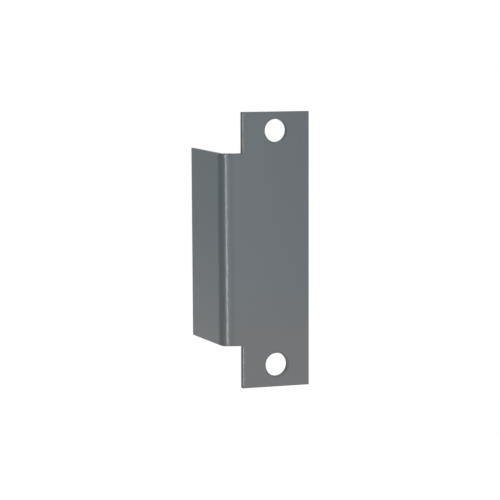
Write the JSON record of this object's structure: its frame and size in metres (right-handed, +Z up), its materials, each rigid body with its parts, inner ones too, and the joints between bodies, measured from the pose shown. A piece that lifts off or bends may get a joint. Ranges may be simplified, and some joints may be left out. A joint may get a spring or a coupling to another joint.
{
  "type": "electric strike filler plate",
  "caption": "Folded sheet-steel plate with a screw hole near each end and a deep side flange, which closes the cut-out of an electric strike in a door frame.",
  "frame": {"origin": "centre of the face plate's back, the flat face that lies on the door frame", "axes": "+Z up along the face plate's height; the face plate's front looks along -Y; the flange stands on the -X side and runs back along +Y"},
  "size_m": [0.0406, 0.0432, 0.123],
  "materials": {
    "painted_steel": "satin"
  },
  "bodies": {
    "root": {"filler_plate": "painted_steel"}
  },
  "joints": []
}
